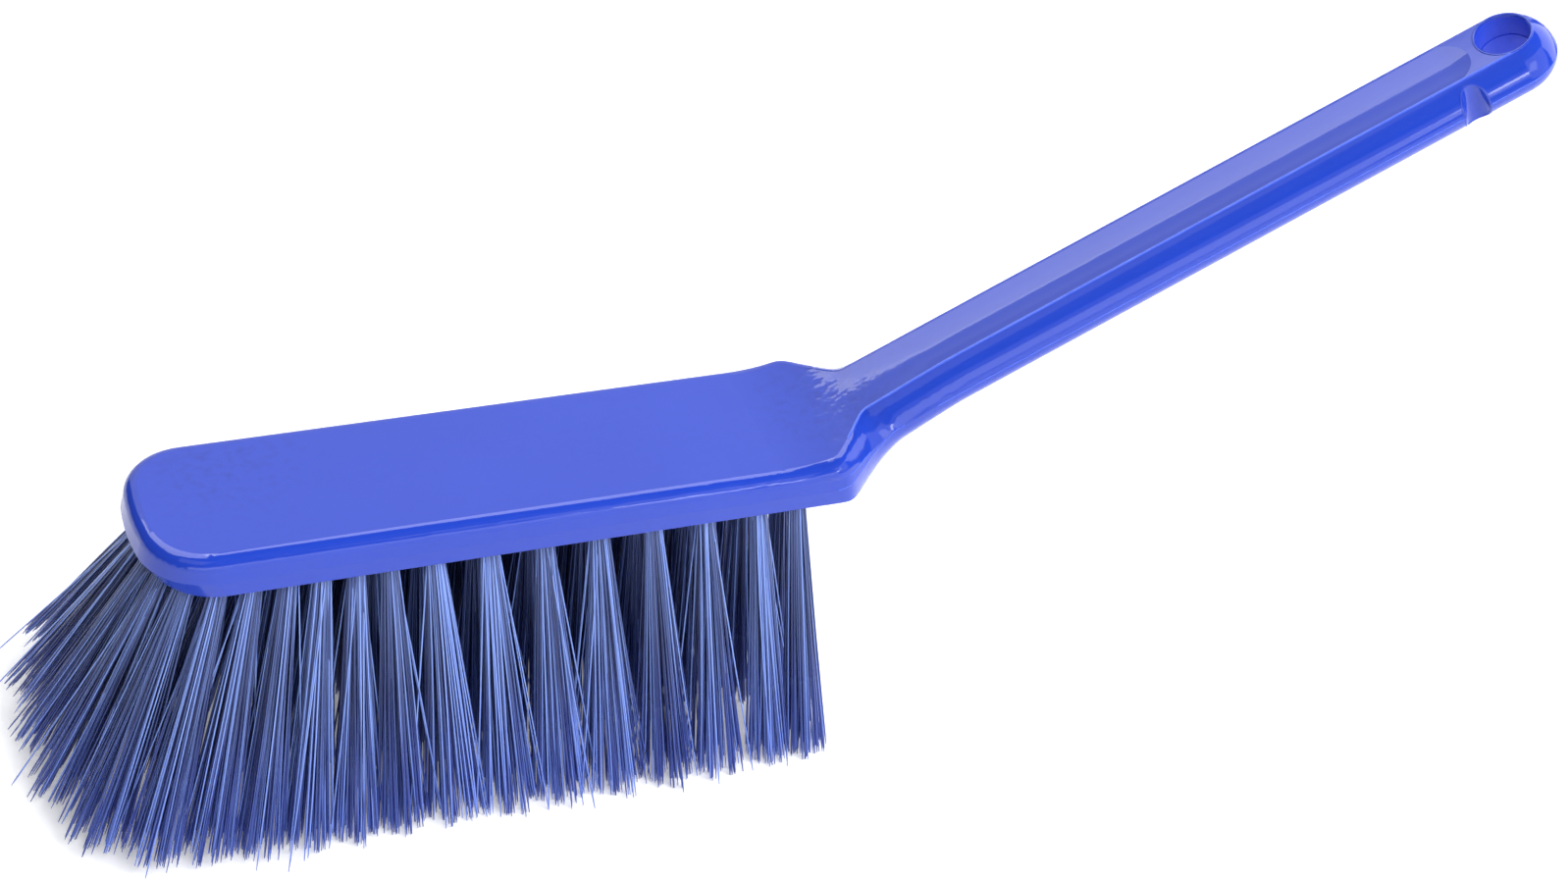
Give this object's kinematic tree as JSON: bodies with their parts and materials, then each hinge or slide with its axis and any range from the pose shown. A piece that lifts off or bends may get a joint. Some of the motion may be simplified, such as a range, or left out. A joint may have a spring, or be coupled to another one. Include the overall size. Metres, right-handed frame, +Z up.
{
  "type": "hand broom",
  "caption": "One-piece moulded hand broom: flat brush block with fanned filament tufts, cranked neck and a straight round-sided handle that ends in a hanging hole.",
  "frame": {"origin": "under the middle of the part's box, on the plane of the trimmed bristle tips that it stands on", "axes": "+X along the broom from the block's front to the handle's end, +Y across to the broom's left side, +Z up"},
  "size_m": [0.3536, 0.0874, 0.16],
  "materials": {
    "moulded_body": "polished injection-moulded polypropylene, royal blue",
    "filament": "fine extruded synthetic filament, mid blue",
    "anchor_wire": "flat rolled tinned steel wire"
  },
  "bodies": {
    "root": {"anchor_wires": "anchor_wire", "handle_block": "moulded_body", "tuft_front_01": "filament", "tuft_front_02": "filament", "tuft_front_03": "filament", "tuft_front_04": "filament", "tuft_front_05": "filament", "tuft_left_inner_01": "filament", "tuft_left_inner_02": "filament", "tuft_left_inner_03": "filament", "tuft_left_inner_04": "filament", "tuft_left_inner_05": "filament", "tuft_left_inner_06": "filament", "tuft_left_inner_07": "filament", "tuft_left_inner_08": "filament", "tuft_left_inner_09": "filament", "tuft_left_inner_10": "filament", "tuft_left_inner_11": "filament", "tuft_left_inner_12": "filament", "tuft_left_outer_01": "filament", "tuft_left_outer_02": "filament", "tuft_left_outer_03": "filament", "tuft_left_outer_04": "filament", "tuft_left_outer_05": "filament", "tuft_left_outer_06": "filament", "tuft_left_outer_07": "filament", "tuft_left_outer_08": "filament", "tuft_left_outer_09": "filament", "tuft_left_outer_10": "filament", "tuft_left_outer_11": "filament", "tuft_left_outer_12": "filament", "tuft_left_outer_13": "filament", "tuft_left_outer_14": "filament", "tuft_right_inner_01": "filament", "tuft_right_inner_02": "filament", "tuft_right_inner_03": "filament", "tuft_right_inner_04": "filament", "tuft_right_inner_05": "filament", "tuft_right_inner_06": "filament", "tuft_right_inner_07": "filament", "tuft_right_inner_08": "filament", "tuft_right_inner_09": "filament", "tuft_right_inner_10": "filament", "tuft_right_inner_11": "filament", "tuft_right_inner_12": "filament", "tuft_right_outer_01": "filament", "tuft_right_outer_02": "filament", "tuft_right_outer_03": "filament", "tuft_right_outer_04": "filament", "tuft_right_outer_05": "filament", "tuft_right_outer_06": "filament", "tuft_right_outer_07": "filament", "tuft_right_outer_08": "filament", "tuft_right_outer_09": "filament", "tuft_right_outer_10": "filament", "tuft_right_outer_11": "filament", "tuft_right_outer_12": "filament", "tuft_right_outer_13": "filament", "tuft_right_outer_14": "filament"}
  },
  "joints": []
}
